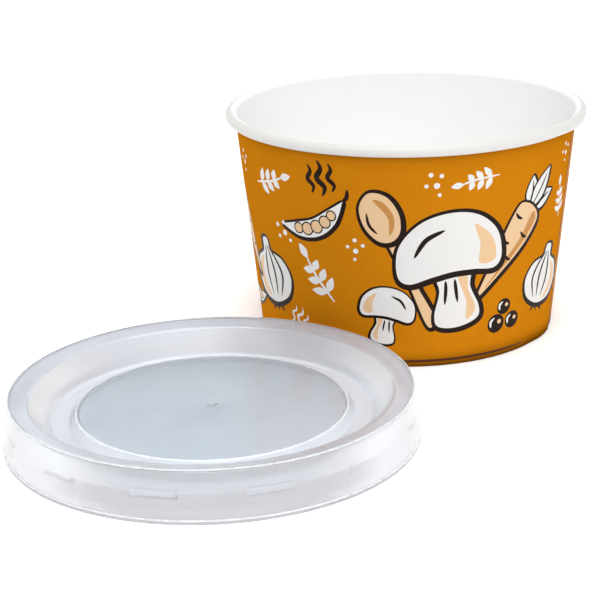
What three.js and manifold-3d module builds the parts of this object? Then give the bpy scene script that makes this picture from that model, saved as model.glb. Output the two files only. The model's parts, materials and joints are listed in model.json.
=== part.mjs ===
// A wide, low paper soup cup with a rolled rim, standing open, and its clear press-on lid
// lying top side up on the table beside it. Millimetres, +Z up, table at z = 0, origin in the
// middle of the floor area that the two cover.

import * as THREE from 'three';
import { mergeVertices } from 'three/addons/utils/BufferGeometryUtils.js';
import Module from 'manifold-3d';

const wasm = await Module();
wasm.setup();

// Driving dimensions of the cup
const CUP_HEIGHT = 72;
const RIM_RADIUS = 57.5;
const ROLL_RADIUS = 1.75;
const ROLL_END = -125;
const FOOT_RADIUS = 47.6;
const FOOT_ROUND = 0.5;
const PAPER = 0.5;
const FOLD_TOP = 6.8;
const DISC_TOP = 7.6;
const DISC_PAPER = 0.4;

// The blank's two ends lap at the side: degrees round the cup, 0 towards +X
const SEAM_EDGE = -18;
const LAP_WIDTH = 7.5;
const LAP_FADE = 10;
const EDGE_WIDTH = 0.35;

// Driving dimensions of the lid
const LID_WALL = 0.8;
const LID_HEIGHT = 14.5;
const LIP_RADIUS = 58.8;
const LIP_HEIGHT = 1.1;
const SKIRT_RADIUS = 58.5;
const FLARE_BOTTOM = 3.4;
const SHOULDER_HEIGHT = 8;
const COLLAR_RADIUS = 57.2;
const RING_OUTER = 56.6;
const RING_INNER = 50.8;
const RING_DROP = 1.2;
const CHANNEL_OUTER = 44.8;
const CHANNEL_INNER = 40.4;
const CHANNEL_FLOOR = 6;
const PLATEAU_RADIUS = 38.2;
const PLATEAU_HEIGHT = 8.6;
const NUB_RADIUS = 1.5;
const NUB_HEIGHT = 0.5;
const EDGE_ROUND = 0.4;

// Snap lugs inside the lid's collar, which catch under the cup's rolled rim
const LUG_COUNT = 12;
const LUG_SPAN = 12;
const FIRST_LUG = -99.3;
const LUG_RADIUS = 56;
const LUG_ROOT = 0.95;
const LUG_BOTTOM = 6.2;
const LUG_THICKNESS = 2.4;

// Where the lid lies, from the cup's axis
const LID_FROM_CUP = [-54.5, -97.5];

const CLEARANCE = 0.3;
const TURN_STEPS = 72;
const ROLL_STEPS = 10;
const LUG_STEPS = 3;
const WELD_DISTANCE = 1e-4;

const degrees = (angle) => (angle * Math.PI) / 180;

const WALL_TOP_RADIUS = RIM_RADIUS - 2 * ROLL_RADIUS + PAPER;
const ROLL_CENTRE = [RIM_RADIUS - ROLL_RADIUS, CUP_HEIGHT - ROLL_RADIUS];
const WALL_SLOPE = (WALL_TOP_RADIUS - FOOT_RADIUS) / ROLL_CENTRE[1];

const wallRadius = (height) => FOOT_RADIUS + WALL_SLOPE * height;

// Evenly spaced angles of a full turn, in degrees
function evenTurn() {
  return Array.from({ length: TURN_STEPS + 1 }, (_, step) => (step * 360) / TURN_STEPS);
}

// The same counted back from the seam's edge, with close pairs of columns at the two steps
function seamTurn() {
  const steps = [EDGE_WIDTH, LAP_WIDTH - EDGE_WIDTH, LAP_WIDTH, LAP_WIDTH + LAP_FADE];
  const behind = [...evenTurn(), ...steps].sort((a, b) => b - a);
  return behind.map((angle) => SEAM_EDGE - angle);
}

// Only positions, shared corners merged and flat triangles dropped, so that the mesh is closed
function welded(geometry) {
  geometry.deleteAttribute('normal');
  geometry.deleteAttribute('uv');
  const merged = mergeVertices(geometry, WELD_DISTANCE);
  const kept = [];
  for (let k = 0; k < merged.index.count; k += 3) {
    const [a, b, c] = [0, 1, 2].map((corner) => merged.index.getX(k + corner));
    if (a !== b && b !== c && c !== a) {
      kept.push(a, b, c);
    }
  }
  merged.setIndex(kept);
  return merged;
}

// A profile of [radius, height] points turned about Z, with one column at each angle.
// `reach` moves a point outwards by its place in the profile and its column's angle.
function turned(profile, columns, reach = () => 0) {
  const outline = profile.map(([radius, height]) => new THREE.Vector2(radius, height));
  const geometry = new THREE.LatheGeometry(outline, columns.length - 1);
  const position = geometry.getAttribute('position');
  columns.forEach((angle, column) => {
    const [cosine, sine] = [Math.cos(degrees(angle)), Math.sin(degrees(angle))];
    profile.forEach(([radius, height], point) => {
      const out = radius + reach(point, angle);
      position.setXYZ(column * profile.length + point, out * cosine, out * sine, height);
    });
  });
  return welded(geometry);
}

function solidOf(geometry) {
  const closed = welded(geometry);
  const vertProperties = new Float32Array(closed.getAttribute('position').array);
  const triVerts = new Uint32Array(closed.index.array);
  return new wasm.Manifold(new wasm.Mesh({ numProp: 3, vertProperties, triVerts }));
}

function geometryOf(solid) {
  const mesh = solid.getMesh();
  const geometry = new THREE.BufferGeometry();
  geometry.setAttribute('position', new THREE.BufferAttribute(new Float32Array(mesh.vertProperties), 3));
  geometry.setIndex(Array.from(mesh.triVerts));
  return geometry;
}

function named(name, geometry, finish) {
  geometry.computeVertexNormals();
  const mesh = new THREE.Mesh(geometry, new THREE.MeshStandardMaterial({ metalness: 0, ...finish }));
  mesh.name = name;
  return mesh;
}

// Points of an arc about a centre, between two angles in degrees
function arc([x, y], radius, from, to, steps) {
  return Array.from({ length: steps + 1 }, (_, step) => {
    const angle = degrees(from + ((to - from) * step) / steps);
    return [x + radius * Math.cos(angle), y + radius * Math.sin(angle)];
  });
}

// The sidewall is one strip of paper. From its rolled rim it comes down to the foot, turns in
// and runs up again as a short fold, which leaves a slot for the bottom disc's flange.
function sidewallProfile() {
  const foldOuter = FOOT_RADIUS - PAPER - DISC_PAPER - 2 * CLEARANCE;
  const foldInner = foldOuter - PAPER;
  const outside = [
    [FOOT_RADIUS - FOOT_ROUND, 0],
    [wallRadius(FOOT_ROUND), FOOT_ROUND],
    [WALL_TOP_RADIUS, ROLL_CENTRE[1]],
  ];
  const insideRoll = arc(ROLL_CENTRE, ROLL_RADIUS - PAPER, 180, ROLL_END, ROLL_STEPS).slice(1);
  const outsideRoll = arc(ROLL_CENTRE, ROLL_RADIUS, ROLL_END, 180, ROLL_STEPS);
  const inside = [[wallRadius(PAPER) - PAPER, PAPER]];
  const fold = [
    [foldOuter + WALL_SLOPE * PAPER, PAPER],
    [foldOuter + WALL_SLOPE * FOLD_TOP, FOLD_TOP],
    [foldInner + WALL_SLOPE * FOLD_TOP, FOLD_TOP],
    [foldInner + WALL_SLOPE * FOOT_ROUND, FOOT_ROUND],
    [foldInner + FOOT_ROUND, 0],
  ];
  const outer = [...outside, ...insideRoll, ...outsideRoll];
  return { profile: [...outer, ...inside, ...fold, outside[0]], inner: [outer.length - 1, outer.length] };
}

// How far the paper stands out where one end of the blank lies on the other. The outer end's
// edge shows outside at the seam, and the inner end's edge inside, a lap's width further back.
function lapReach(profile, inner) {
  return (point, angle) => {
    const behind = SEAM_EDGE - angle;
    const onFold = point > inner[1] && point < profile.length - 1;
    const start = inner.includes(point) ? LAP_WIDTH : EDGE_WIDTH;
    if (onFold || behind < start) {
      return 0;
    }
    const fade = Math.max(0, behind - LAP_WIDTH) / LAP_FADE;
    return PAPER * Math.max(0, 1 - fade);
  };
}

function sidewall() {
  const { profile, inner } = sidewallProfile();
  const geometry = turned(profile, seamTurn(), lapReach(profile, inner));
  return named('cup_sidewall', geometry, { color: 0xc07010, roughness: 0.5 });
}

// A disc with a flange turned down all round, which the sidewall's fold grips
function bottomDisc() {
  const under = DISC_TOP - DISC_PAPER;
  const flangeEnd = PAPER + CLEARANCE;
  const outer = (height) => wallRadius(height) - PAPER - CLEARANCE;
  const inner = (height) => outer(height) - DISC_PAPER;
  const profile = [
    [0, under],
    [inner(under), under],
    [inner(flangeEnd), flangeEnd],
    [outer(flangeEnd), flangeEnd],
    [outer(under), under],
    [inner(DISC_TOP), DISC_TOP],
    [0, DISC_TOP],
  ];
  return named('cup_bottom', turned(profile, evenTurn()), { color: 0xf4f3f0, roughness: 0.45 });
}

// The lid's underside, from the middle out to the lip that it lies on, one wall below its top
function lidUnder() {
  const plateau = PLATEAU_HEIGHT - LID_WALL;
  const channel = CHANNEL_FLOOR - LID_WALL;
  const ring = LID_HEIGHT - RING_DROP - LID_WALL;
  const skirt = SKIRT_RADIUS - LID_WALL;
  return [
    [0, plateau],
    [PLATEAU_RADIUS - LID_WALL, plateau],
    [CHANNEL_INNER - LID_WALL, channel],
    [CHANNEL_OUTER + LID_WALL / 2, channel],
    [RING_INNER + LID_WALL, ring - EDGE_ROUND],
    [RING_INNER + 1.5 * LID_WALL, ring],
    [RING_OUTER - LID_WALL / 2, LID_HEIGHT - LID_WALL - EDGE_ROUND / 2],
    [COLLAR_RADIUS - LID_WALL, SHOULDER_HEIGHT - EDGE_ROUND / 2],
    [skirt, FLARE_BOTTOM - EDGE_ROUND / 2],
    [skirt, EDGE_ROUND],
    [skirt + EDGE_ROUND / 2, 0],
  ];
}

// From the lip over the flared skirt, collar, ring and channel to the gate nub in the middle
function lidTop() {
  return [
    [LIP_RADIUS, 0],
    [LIP_RADIUS, LIP_HEIGHT - EDGE_ROUND],
    [SKIRT_RADIUS, LIP_HEIGHT],
    [SKIRT_RADIUS, FLARE_BOTTOM],
    [COLLAR_RADIUS, SHOULDER_HEIGHT],
    [RING_OUTER + EDGE_ROUND, LID_HEIGHT - EDGE_ROUND],
    [RING_OUTER, LID_HEIGHT],
    [RING_INNER + EDGE_ROUND, LID_HEIGHT - RING_DROP],
    [RING_INNER, LID_HEIGHT - RING_DROP - EDGE_ROUND],
    [CHANNEL_OUTER, CHANNEL_FLOOR],
    [CHANNEL_INNER, CHANNEL_FLOOR],
    [PLATEAU_RADIUS + EDGE_ROUND / 2, PLATEAU_HEIGHT - EDGE_ROUND],
    [PLATEAU_RADIUS - EDGE_ROUND, PLATEAU_HEIGHT],
    [NUB_RADIUS, PLATEAU_HEIGHT],
    [NUB_RADIUS - EDGE_ROUND, PLATEAU_HEIGHT + NUB_HEIGHT],
    [0, PLATEAU_HEIGHT + NUB_HEIGHT],
  ];
}

// One snap lug: a short curved bar that grows out of the skirt's inside
function lug(middle) {
  const from = middle - LUG_SPAN / 2;
  const to = middle + LUG_SPAN / 2;
  const front = arc([0, 0], LUG_RADIUS, from, to, LUG_STEPS);
  const root = arc([0, 0], LUG_RADIUS + LUG_ROOT, to, from, LUG_STEPS);
  const outline = [...root, ...front].map(([x, y]) => new THREE.Vector2(x, y));
  const shape = new THREE.Shape(outline);
  const bar = new THREE.ExtrudeGeometry(shape, { depth: LUG_THICKNESS, bevelEnabled: false });
  bar.translate(0, 0, LUG_BOTTOM);
  return solidOf(bar);
}

// The lid is one moulded piece: plateau, channel, ring, skirt, lip and lugs
function lid() {
  let solid = solidOf(turned([...lidUnder(), ...lidTop()], evenTurn()));
  for (let k = 0; k < LUG_COUNT; k += 1) {
    solid = solid.add(lug(FIRST_LUG + (k * 360) / LUG_COUNT));
  }
  const finish = { color: 0xd8dce4, roughness: 0.35, opacity: 0.6, transparent: true };
  return named('lid', geometryOf(solid), finish);
}

// The middle of the floor area that the cup and the lid cover together
function middle(axis) {
  const low = Math.min(-RIM_RADIUS, LID_FROM_CUP[axis] - LIP_RADIUS);
  const high = Math.max(RIM_RADIUS, LID_FROM_CUP[axis] + LIP_RADIUS);
  return (low + high) / 2;
}

function assemble() {
  const cup = new THREE.Group();
  cup.add(sidewall(), bottomDisc());
  cup.position.set(-middle(0), -middle(1), 0);
  const cover = lid();
  cover.position.set(LID_FROM_CUP[0] - middle(0), LID_FROM_CUP[1] - middle(1), 0);
  const whole = new THREE.Group();
  whole.add(cup, cover);
  return whole;
}

export default assemble();
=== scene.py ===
"""Dresses a wide paper soup cup and the clear press-on lid that lies beside it.

The file is laid out as a Blender add-on and is run as a script. All lengths are metres, unless a
name says mm; a height is above the table, and an angle goes round the cup or lid from +X.
"""

import json
import math

import bmesh
import bpy
import numpy as np
from mathutils import Matrix, Vector
from mathutils.geometry import delaunay_2d_cdt

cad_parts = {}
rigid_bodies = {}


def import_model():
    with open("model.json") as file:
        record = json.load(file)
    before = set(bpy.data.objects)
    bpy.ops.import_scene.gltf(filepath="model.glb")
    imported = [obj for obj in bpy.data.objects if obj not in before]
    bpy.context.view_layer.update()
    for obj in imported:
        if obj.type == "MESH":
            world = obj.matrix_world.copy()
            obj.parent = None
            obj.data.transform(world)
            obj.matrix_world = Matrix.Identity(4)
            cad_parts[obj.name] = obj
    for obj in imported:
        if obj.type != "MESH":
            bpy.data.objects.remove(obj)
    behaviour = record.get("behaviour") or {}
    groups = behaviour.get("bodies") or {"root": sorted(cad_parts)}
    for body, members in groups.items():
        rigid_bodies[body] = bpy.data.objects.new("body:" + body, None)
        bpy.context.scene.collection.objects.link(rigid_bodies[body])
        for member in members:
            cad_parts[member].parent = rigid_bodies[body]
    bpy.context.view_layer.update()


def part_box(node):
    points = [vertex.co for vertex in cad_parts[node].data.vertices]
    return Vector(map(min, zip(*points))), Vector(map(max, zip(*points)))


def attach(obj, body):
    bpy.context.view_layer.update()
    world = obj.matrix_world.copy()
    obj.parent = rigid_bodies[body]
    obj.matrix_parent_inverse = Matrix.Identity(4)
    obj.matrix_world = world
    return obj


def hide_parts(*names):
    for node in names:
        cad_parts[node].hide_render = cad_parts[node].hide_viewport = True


bl_info = {
    "name": "Soup cup",
    "version": (1, 0, 0),
    "blender": (4, 5, 0),
    "location": "View3D > Sidebar > Soup cup",
    "description": "Dresses a paper soup cup, its print and its clear lid, and sets a studio round them",
    "category": "Object",
}

for leftover in list(bpy.data.objects):
    bpy.data.objects.remove(leftover, do_unlink=True)
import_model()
CUP_LOW, CUP_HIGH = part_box("cup_sidewall")
DISC_LOW, DISC_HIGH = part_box("cup_bottom")
LID_LOW, LID_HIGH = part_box("lid")
CUP_CENTRE = (CUP_LOW + CUP_HIGH) / 2
LID_CENTRE = (LID_LOW + LID_HIGH) / 2

MM = 0.001
WELD = 2e-6
SHARP_ANGLE = math.radians(32)

AMBER, WHITE, BLACK, CREAM, TAN, BROWN, COATED, EDGE, ROLL_PAINTED_SHADE, SEAM, PALE_SEAM_BAND = range(11)


# Small tools for numbers, colours and curves

def smoothstep(value):
    held = np.clip(value, 0.0, 1.0)
    return held * held * (3 - 2 * held)


def linear(colour):
    """An sRGB hex colour as linear red, green, blue and alpha."""
    parts = [int(colour[k:k + 2], 16) / 255 for k in (1, 3, 5)]
    return (*[c / 12.92 if c <= 0.04045 else ((c + 0.055) / 1.055) ** 2.4 for c in parts], 1.0)


def arc(centre, radius, start, end, steps):
    """Points of an arc about a centre, between two angles in degrees."""
    turns = np.radians(np.linspace(start, end, steps + 1))
    return [(centre[0] + radius * math.cos(t), centre[1] + radius * math.sin(t)) for t in turns]


def rounded(corners, steps=5):
    """A profile with its corners rounded. Each corner is (radius from the axis, height, rounding)."""
    made = []
    last = len(corners) - 1
    for k, (x, y, size) in enumerate(corners):
        if size == 0 or k in (0, last):
            made.append((x, y))
            continue
        here = np.array((x, y))
        back = np.array(corners[k - 1][:2]) - here
        ahead = np.array(corners[k + 1][:2]) - here
        reach = min(size, 0.48 * np.linalg.norm(back), 0.48 * np.linalg.norm(ahead))
        start = here + back / np.linalg.norm(back) * reach
        end = here + ahead / np.linalg.norm(ahead) * reach
        for t in np.linspace(0, 1, steps + 1):
            made.append(tuple(start * (1 - t) ** 2 + 2 * here * t * (1 - t) + end * t ** 2))
    return made


def spline(points, closed=True, steps=8):
    """A smooth curve through points. A point given twice makes a corner."""
    knots = np.array(points, float)
    count = len(knots)
    spans = count if closed else count - 1
    made = []
    for k in range(spans):
        if closed:
            p = [knots[(k + j - 1) % count] for j in range(4)]
        else:
            p = [knots[min(max(k + j - 1, 0), count - 1)] for j in range(4)]
        if np.allclose(p[1], p[2]):
            continue
        before = (p[2] - p[0]) / 2 if not np.allclose(p[0], p[1]) else (p[2] - p[1]) / 2
        after = (p[3] - p[1]) / 2 if not np.allclose(p[2], p[3]) else (p[2] - p[1]) / 2
        for t in np.arange(steps) / steps:
            made.append(
                (2 * t ** 3 - 3 * t ** 2 + 1) * p[1] + (t ** 3 - 2 * t ** 2 + t) * before
                + (3 * t ** 2 - 2 * t ** 3) * p[2] + (t ** 3 - t ** 2) * after
            )
    if not closed:
        made.append(knots[-1])
    return np.array(made)


def outward(curve, closed=True):
    """Unit normals to the right of a curve's way, which is outside where it runs anticlockwise."""
    if closed:
        along = np.roll(curve, -1, axis=0) - np.roll(curve, 1, axis=0)
    else:
        along = np.gradient(curve, axis=0)
    along /= np.maximum(np.linalg.norm(along, axis=1, keepdims=True), 1e-9)
    return np.stack([along[:, 1], -along[:, 0]], axis=1)


# Motifs of the print, drawn in millimetres with x to the right and y up. Each is a list of
# (ink, outline), the later ones lying on the earlier ones.

def area_of(curve):
    x, y = curve[:, 0], curve[:, 1]
    return 0.5 * float(np.sum(x * np.roll(y, -1) - np.roll(x, -1) * y))


def inked(points, fill, line=1.2, steps=8):
    """A filled shape with a brush-drawn outline, which is thicker on its lower right."""
    shape = spline(points, True, steps)
    if area_of(shape) < 0:
        shape = shape[::-1]
    normal = outward(shape)
    lean = normal @ np.array((0.6, -0.8))
    outer = shape + normal * (line * (1 + 0.35 * lean))[:, None]
    return [(BLACK, outer), (fill, shape)]


def brush(points, width, ink=BLACK, taper=0.85, steps=7):
    """A brush stroke along a curve, fullest in the middle and tapered to its ends."""
    path = spline(points, False, steps)
    along = np.linspace(-1, 1, len(path))
    half = 0.5 * width * (1 - taper * np.abs(along) ** 2.5)
    normal = outward(path, False)
    sides = [path + normal * half[:, None], (path - normal * half[:, None])[::-1]]
    return [(ink, np.concatenate(sides))]


def spot(x, y, radius, ink=WHITE, steps=14):
    turns = np.arange(steps) * 2 * math.pi / steps
    return [(ink, np.stack([x + radius * np.cos(turns), y + radius * np.sin(turns)], axis=1))]


def moved(layers, x=0.0, y=0.0, turn=0.0, scale=1.0, flip=False):
    """Layers turned by degrees, scaled and moved."""
    c, s = math.cos(math.radians(turn)), math.sin(math.radians(turn))
    mirror = np.array((-1.0 if flip else 1.0, 1.0))
    spin = np.array(((c, s), (-s, c)))
    return [(ink, (curve * mirror * scale) @ spin + np.array((x, y))) for ink, curve in layers]


def mushroom():
    stem = [(-4.4, 0), (-4.2, -6), (-6.2, -12.6), (-5.4, -16.2), (0, -17.4), (5.8, -16), (6.6, -12.4),
            (4.6, -6), (5, 0)]
    cap = [(-15, 0.6), (-13.8, 8.6), (-7.4, 14.6), (1, 16.2), (8.8, 14), (14.2, 8), (15, 0.4),
           (12.2, -2.6), (6, -1.4), (0, -0.8), (-6, -1.4), (-12.2, -2.4)]
    shade = [(13.2, 0.6), (12.4, 6.6), (7.6, 11.6), (8.6, 5.4), (7.8, 0.4), (10.6, -0.8)]
    layers = [*inked(stem, WHITE), (CREAM, spline([(1.4, -3), (4, -3), (4, -7), (5.6, -13), (2.6, -15.6),
                                                   (3, -10)]))]
    for lean in (-2.2, 0.4):
        layers += brush([(lean, -3), (lean * 1.1, -6), (lean * 1.4, -10)], 1.0)
    layers += inked(cap, WHITE, 1.35)
    layers.append((CREAM, spline(shade)))
    layers += brush([(-10, 5), (-6.4, 9.6), (-1, 11.6)], 1.4)
    return layers


def leaf(length, width, fill=WHITE, line=1.1, rib=True):
    """A pointed leaf standing on its stalk, at the origin."""
    side = [(width / 2 * w, length * h) for w, h in ((0.55, 0.16), (1, 0.42), (0.72, 0.72))]
    points = [(0, 0), (0, 0), *side, (0, length), (0, length), *[(-x, y) for x, y in side[::-1]]]
    layers = inked(points, fill, line) if line else [(fill, spline(points))]
    if rib:
        layers += brush([(0, 0.1 * length), (0.3, 0.5 * length), (0, 0.85 * length)], 0.8)
    return layers


def carrot():
    body = [(-5.6, 10.6), (-6.6, 6), (-5.6, -3), (-3.2, -15), (-0.5, -27), (0.5, -27), (3, -15),
            (5.8, -3), (6.8, 6), (5.6, 10.6), (0, 12.2)]
    layers = []
    for turn, size in ((34, 13), (-32, 14), (0, 18)):
        layers += moved(leaf(size, 6.4), 0, 10.6, turn)
    layers += inked(body, CREAM, 1.5)
    layers.append((TAN, spline([(2, 10), (5.2, 9.4), (5.6, 4), (4.6, -4), (2.6, -13), (0.4, -24), (1.6, -10),
                                (2.6, 0)])))
    notches = ((6, -6, -1.4), (1.4, 1.2, 5.6), (-4.4, -4.8, -1), (-9, 0.6, 3.8), (-14.6, -2.8, 0))
    for height, start, end in notches:
        middle = (start + end) / 2
        layers += brush([(start, height), (middle, height - 0.7), (end, height - 0.3)], 1.2)
    return layers


def onion():
    bulb = [(-1.6, 12), (-3, 7.4), (-9.4, 4.4), (-12.4, -2), (-9.6, -8.6), (-3, -11.8), (3, -11.8),
            (9.6, -8.6), (12.4, -2), (9.4, 4.4), (3, 7.4), (1.8, 12)]
    layers = []
    for x in (-2.4, 0, 2.4):
        layers += brush([(x * 0.6, -11), (x, -13.4), (x * 1.7, -15.4)], 1.3)
    layers += inked(bulb, WHITE, 1.6)
    shade = [(4.6, 5), (9, 2.6), (11, -2), (8.4, -7.6), (3.4, -10.4), (6.4, -5), (6.8, 0)]
    layers.append((CREAM, spline(shade)))
    for bend in (-7.4, -2.6, 2.8):
        layers += brush([(bend * 0.16, 9.4), (bend * 0.8, 3.4), (bend, -2.4), (bend * 0.55, -9.6)], 1.2)
    return layers


def spoon():
    bowl = [(0, 27), (5.4, 23.4), (6.8, 16), (4.4, 9.4), (0, 7.2), (-4.4, 9.4), (-6.8, 16), (-5.4, 23.4)]
    handle = [(-1.5, 9), (-1.2, -10), (-2, -27), (0, -29.2), (2, -27), (1.2, -10), (1.5, 9)]
    layers = [*inked(handle, CREAM, 1.4), *inked(bowl, CREAM, 1.6)]
    layers.append((TAN, spline([(0.4, 24), (3.6, 21.6), (4.8, 16), (3, 11.6), (0.4, 10), (2.6, 16)])))
    layers += brush([(-3.8, 20.6), (-4.8, 16), (-3.4, 11.8)], 1.1)
    return layers


def pea_pod():
    pod = [(-18, 5), (-18, 5), (-10, -2.6), (0, -5.4), (10, -2.6), (18, 5), (18, 5), (9, 3.6), (0, 2.4),
           (-9, 3.6)]
    layers = inked(pod, WHITE, 1.5)
    for x, y, r in ((-9, 0.9, 2.1), (-4.5, -0.7, 2.5), (0.6, -1.2, 2.6), (5.6, -0.5, 2.4), (9.9, 1.1, 1.9)):
        layers += spot(x, y, r + 0.6, BLACK)
        layers += spot(x, y, r, CREAM)
    layers += brush([(18, 5), (20.6, 6), (22.4, 9)], 1.9)
    return layers


def sprig(pairs=3, step=4.4):
    """A small white sprig in one ink, without outlines."""
    top = pairs * step
    layers = brush([(0, -5), (0.7, top / 2), (0, top)], 1.0, WHITE, 0.6)
    for k in range(pairs):
        size = 6.4 - 0.9 * k
        for side in (-1, 1):
            layers += moved(leaf(size, 2.9, WHITE, 0, False), 0.3, k * step - 1, -side * 56)
    return layers + moved(leaf(6, 3, WHITE, 0, False), 0, top - 0.6)


def swirl(ink=WHITE, width=1.7):
    """Three steam curls side by side."""
    layers = []
    for x, size in ((-4.6, 0.8), (0, 1.0), (4.6, 0.8)):
        curl = [(-0.4, -7), (1.5, -3.6), (-1.3, 0.4), (1.2, 4), (0.2, 7.6)]
        layers += moved(brush(curl, width, ink, 0.9), x, 0, 0, size)
    return layers


def black_swirl():
    return swirl(BLACK, 2.4)


def olives():
    """Three black olives with a white shine and a cream hole."""
    layers = []
    for x, y, r in ((0, 0, 3.4), (6.9, -0.9, 3.1), (3.7, 5.2, 2.9)):
        layers += spot(x, y, r, BLACK, 22)
        shine = [(x - 0.62 * r, y - 0.3 * r), (x - 0.6 * r, y + 0.3 * r), (x - 0.1 * r, y + 0.66 * r)]
        layers += brush(shine, 0.9, WHITE)
        layers += spot(x + 0.42 * r, y + 0.1 * r, 0.24 * r, CREAM)
    return layers


def peppercorns():
    layers = []
    for x, y, r in ((0, 0, 0.95), (3, 1.4, 0.7), (-2.4, 2, 0.65), (0.8, 3.8, 0.75), (-1.2, -2.8, 0.6)):
        layers += spot(x, y, r, WHITE)
    return layers


# One repeat of the print: motif, angle along the repeat, height in mm, turn, size and mirroring
REPEAT = (
    (carrot, 31, 40, -36, 0.82, False),
    (spoon, 74, 36, 24, 0.84, False),
    (mushroom, 56, 32, 7, 1.12, False),
    (mushroom, 79, 17.5, -10, 0.56, True),
    (onion, 13, 23, -12, 0.78, False),
    (pea_pod, 104, 45, 24, 0.72, False),
    (onion, 130, 25, 10, 0.86, True),
    (carrot, 152, 39, 31, 0.72, True),
    (pea_pod, 151, 13, -8, 0.6, True),
    (sprig, 6.5, 43, 8, 0.62, False),
    (peppercorns, 6, 61, 25, 0.8, False),
    (sprig, 44, 60, 98, 0.68, False),
    (sprig, 101, 24, 34, 0.9, True),
    (sprig, 128, 55, -74, 0.8, False),
    (sprig, 166, 27, 152, 0.7, False),
    (black_swirl, 100.5, 60, 8, 0.78, False),
    (olives, 37.5, 11.5, 8, 0.92, False),
    (swirl, 115, 12, -24, 0.56, False),
    (peppercorns, 62, 59, 40, 1.0, False),
    (peppercorns, 89, 38, 15, 0.9, False),
    (peppercorns, 118, 40, 70, 1.0, False),
    (peppercorns, 143, 58, 20, 0.9, False),
    (peppercorns, 167, 52, 55, 1.0, False),
)
REPEATS = 2
REPEAT_ANGLE = 360 / REPEATS
PRINT_MARGIN = 0.5
GROUND_HEIGHT_MM = 2.0
GROUND_SPAN = (22, 96)


# What a user would change

COLOUR = {"size": 4, "subtype": "COLOR", "min": 0.0, "max": 1.0}


class CupSizes(bpy.types.PropertyGroup):
    paper: bpy.props.FloatProperty(
        name="Paper", description="Thickness of the sidewall's board", default=0.5 * MM, unit="LENGTH")
    disc_paper: bpy.props.FloatProperty(
        name="Bottom paper", description="Thickness of the bottom disc's board",
        default=0.4 * MM, unit="LENGTH")
    roll: bpy.props.FloatProperty(
        name="Rim roll", description="Radius of the rolled rim", default=1.75 * MM, unit="LENGTH")
    roll_end: bpy.props.FloatProperty(
        name="Roll end", description="Where the roll's paper ends",
        default=math.radians(-125), unit="ROTATION")
    foot_radius: bpy.props.FloatProperty(
        name="Foot", description="Radius of the foot on the table", default=47.6 * MM, unit="LENGTH")
    foot_round: bpy.props.FloatProperty(
        name="Foot rounding", description="Rounding of the folded foot", default=0.5 * MM, unit="LENGTH")
    fold_top: bpy.props.FloatProperty(
        name="Fold", description="Height of the fold inside the foot", default=6.8 * MM, unit="LENGTH")
    print_top: bpy.props.FloatProperty(
        name="Print top", description="Height where the print ends under the rim",
        default=69.0 * MM, unit="LENGTH")
    seam: bpy.props.FloatProperty(
        name="Seam", description="Angle of the blank's outer edge round the cup",
        default=math.radians(-18), unit="ROTATION")
    lap: bpy.props.FloatProperty(
        name="Lap", description="Width of the lap, round the cup", default=math.radians(7.5), unit="ROTATION")
    lap_fade: bpy.props.FloatProperty(
        name="Lap fade", description="Over what angle the outer layer comes down",
        default=math.radians(10), unit="ROTATION")


class LidSizes(bpy.types.PropertyGroup):
    wall: bpy.props.FloatProperty(
        name="Wall", description="Thickness of the moulded wall", default=0.8 * MM, unit="LENGTH")
    lip_height: bpy.props.FloatProperty(
        name="Lip", description="Height of the lip at the bottom", default=1.1 * MM, unit="LENGTH")
    skirt: bpy.props.FloatProperty(
        name="Skirt", description="Radius of the skirt", default=58.5 * MM, unit="LENGTH")
    flare: bpy.props.FloatProperty(
        name="Flare", description="Height where the skirt starts to flare outwards",
        default=3.4 * MM, unit="LENGTH")
    shoulder: bpy.props.FloatProperty(
        name="Shoulder", description="Height where the flare meets the collar",
        default=8.0 * MM, unit="LENGTH")
    collar: bpy.props.FloatProperty(
        name="Collar", description="Radius of the collar over the flare", default=57.2 * MM, unit="LENGTH")
    ring_outer: bpy.props.FloatProperty(
        name="Ring outside", description="Outer radius of the top ring", default=56.6 * MM, unit="LENGTH")
    ring_inner: bpy.props.FloatProperty(
        name="Ring inside", description="Inner radius of the top ring", default=50.8 * MM, unit="LENGTH")
    ring_drop: bpy.props.FloatProperty(
        name="Ring slope", description="How far the ring falls inwards", default=1.2 * MM, unit="LENGTH")
    channel_outer: bpy.props.FloatProperty(
        name="Channel outside", description="Outer radius of the channel floor",
        default=44.8 * MM, unit="LENGTH")
    channel_inner: bpy.props.FloatProperty(
        name="Channel inside", description="Inner radius of the channel floor",
        default=40.4 * MM, unit="LENGTH")
    channel_floor: bpy.props.FloatProperty(
        name="Channel", description="Height of the channel floor", default=6.0 * MM, unit="LENGTH")
    plateau: bpy.props.FloatProperty(
        name="Plateau", description="Radius of the raised middle", default=38.2 * MM, unit="LENGTH")
    plateau_height: bpy.props.FloatProperty(
        name="Plateau height", description="Height of the raised middle", default=8.6 * MM, unit="LENGTH")
    nub: bpy.props.FloatProperty(
        name="Gate nub", description="Radius of the gate's nub in the middle",
        default=1.5 * MM, unit="LENGTH")
    lugs: bpy.props.IntProperty(
        name="Lugs", description="How many snap lugs are inside the skirt", default=12, min=0)
    lug_span: bpy.props.FloatProperty(
        name="Lug length", description="Length of a lug, round the lid",
        default=math.radians(12), unit="ROTATION")
    first_lug: bpy.props.FloatProperty(
        name="First lug", description="Angle of the first lug's middle",
        default=math.radians(-99.3), unit="ROTATION")
    lug_radius: bpy.props.FloatProperty(
        name="Lug radius", description="From the lid's axis to a lug's face",
        default=56.0 * MM, unit="LENGTH")
    lug_bottom: bpy.props.FloatProperty(
        name="Lug bottom", description="Height of a lug's lower side", default=6.2 * MM, unit="LENGTH")
    lug_thickness: bpy.props.FloatProperty(
        name="Lug thickness", description="Height of a lug", default=2.4 * MM, unit="LENGTH")


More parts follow.
